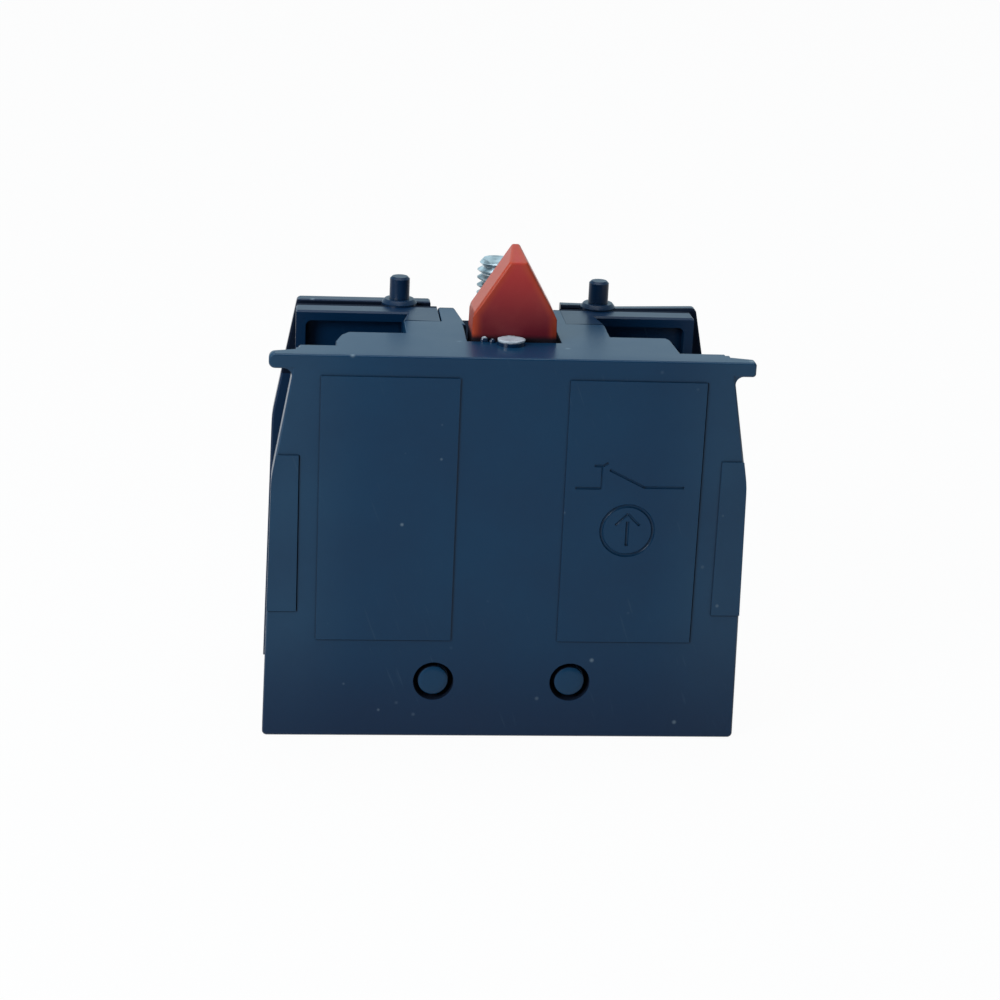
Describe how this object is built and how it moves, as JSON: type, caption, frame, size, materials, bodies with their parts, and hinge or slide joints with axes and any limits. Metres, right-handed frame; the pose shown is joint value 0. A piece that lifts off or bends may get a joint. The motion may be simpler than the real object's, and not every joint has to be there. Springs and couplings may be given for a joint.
{
  "type": "push-button contact block",
  "caption": "Break-type contact block for a panel push-button: sprung wedge plunger, double-break bridge, screw terminals and a captive fixing screw.",
  "frame": {"origin": "middle of the base, on the surface that the block stands on", "axes": "+Z from the base to the mounting surface, along the plunger; the plain face with the two pads looks along -Y; X across the two terminals"},
  "size_m": [0.03, 0.0146, 0.0305],
  "materials": {
    "housing": "dark blue-black moulded plastic, satin",
    "plunger_red": "orange-red moulded plastic, smooth",
    "zinc_steel": "bright zinc plate",
    "spring_steel": "bare spring wire",
    "brass": "stamped brass strip",
    "silver": "silver contact alloy"
  },
  "bodies": {
    "housing": {"front_shell": "housing", "rear_shell": "housing", "fixed_contact_left": "brass", "fixed_contact_right": "brass", "fixed_tip_left": "silver", "fixed_tip_right": "silver"},
    "plunger": {"plunger": "plunger_red", "return_spring": "spring_steel", "contact_spring": "spring_steel"},
    "bridge": {"contact_bridge": "brass", "bridge_tip_left": "silver", "bridge_tip_right": "silver"},
    "clamp_left": {"wire_clamp_left": "zinc_steel", "spring_washer_left": "spring_steel"},
    "clamp_right": {"wire_clamp_right": "zinc_steel", "spring_washer_right": "spring_steel"},
    "terminal_screw_left": {"terminal_screw_left": "zinc_steel"},
    "terminal_screw_right": {"terminal_screw_right": "zinc_steel"},
    "fixing_washer": {"fixing_washer": "zinc_steel"},
    "fixing_screw": {"fixing_screw": "zinc_steel"}
  },
  "joints": [
    {"name": "plunger_press", "type": "slide", "parent": "housing", "child": "plunger", "axis": [0, 0, -1], "range_m": [0, 0.0043], "stiffness_N_per_m": 900, "springref_m": -0.0025, "deforming": ["return_spring"]},
    {"name": "bridge_lag", "type": "slide", "parent": "plunger", "child": "bridge", "axis": [0, 0, 1], "range_m": [0, 0.00145], "deforming": ["contact_spring"]},
    {"name": "clamp_left_close", "type": "slide", "parent": "housing", "child": "clamp_left", "axis": [0, 0, 1], "range_m": [0, 0.0023]},
    {"name": "terminal_screw_left_turn", "type": "hinge", "parent": "clamp_left", "child": "terminal_screw_left", "pos_m": [-0.00992, 0.00046, 0.0044], "axis": [0, 0, 1], "range_deg": [0, 1385]},
    {"name": "clamp_right_close", "type": "slide", "parent": "housing", "child": "clamp_right", "axis": [0, 0, 1], "range_m": [0, 0.0023]},
    {"name": "terminal_screw_right_turn", "type": "hinge", "parent": "clamp_right", "child": "terminal_screw_right", "pos_m": [0.00992, 0.00046, 0.0044], "axis": [0, 0, 1], "range_deg": [0, 1385]},
    {"name": "fixing_screw_drop", "type": "slide", "parent": "housing", "child": "fixing_washer", "axis": [0, 0, -1], "range_m": [0, 0.0022]},
    {"name": "fixing_screw_turn", "type": "hinge", "parent": "fixing_washer", "child": "fixing_screw", "pos_m": [-0.0003, 0.00236, 0.0043], "axis": [0, 0, 1], "continuous": true}
  ],
  "couplings": [
    {"joint": "bridge_lag", "follows": "plunger_press", "ratio": 0.33721},
    {"joint": "terminal_screw_left_turn", "follows": "clamp_left_close", "rad_per_m": 10472},
    {"joint": "terminal_screw_right_turn", "follows": "clamp_right_close", "rad_per_m": 10472}
  ]
}
